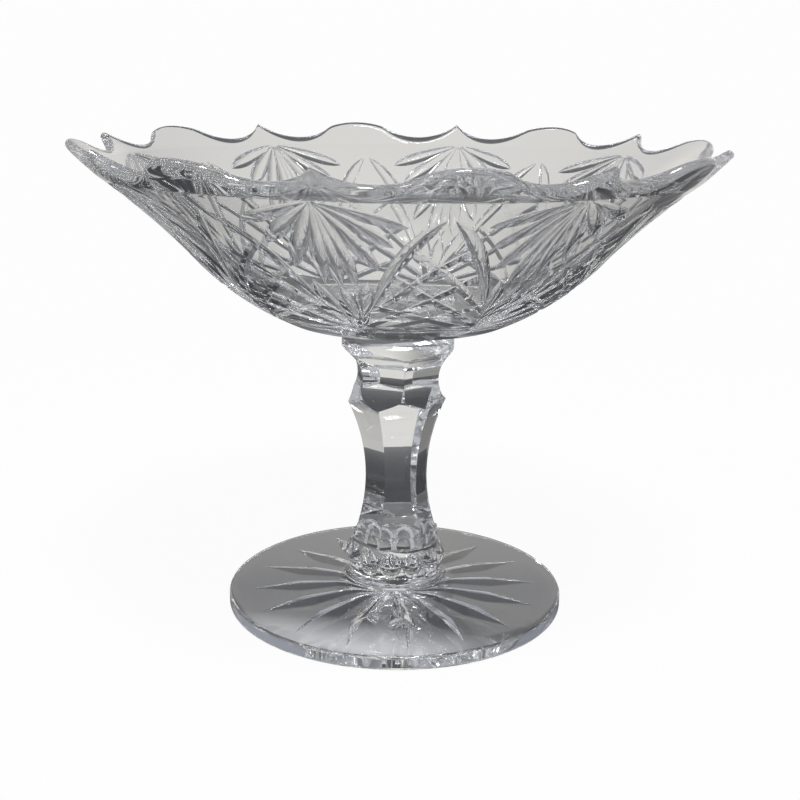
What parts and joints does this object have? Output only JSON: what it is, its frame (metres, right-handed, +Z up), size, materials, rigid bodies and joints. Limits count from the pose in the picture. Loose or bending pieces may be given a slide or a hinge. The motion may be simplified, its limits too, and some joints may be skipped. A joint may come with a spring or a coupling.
{
  "type": "footed compote",
  "caption": "Clear cut-glass compote: a flared bowl with a scalloped rim on a six-sided waisted stem and a round star-cut foot, for serving fruit or sweets.",
  "frame": {"origin": "middle of the foot's underside, on the surface that the compote stands on", "axes": "+Z up along the axis of bowl, stem and foot; one point of the scalloped rim faces +X and another +Y"},
  "size_m": [0.2038, 0.2038, 0.1548],
  "materials": {
    "glass": "clear polished cut glass",
    "bond": "clear cured bond"
  },
  "bodies": {
    "root": {"bowl": "glass", "bowl_bond": "bond", "stem": "glass", "foot_bond": "bond", "foot": "glass"}
  },
  "joints": []
}
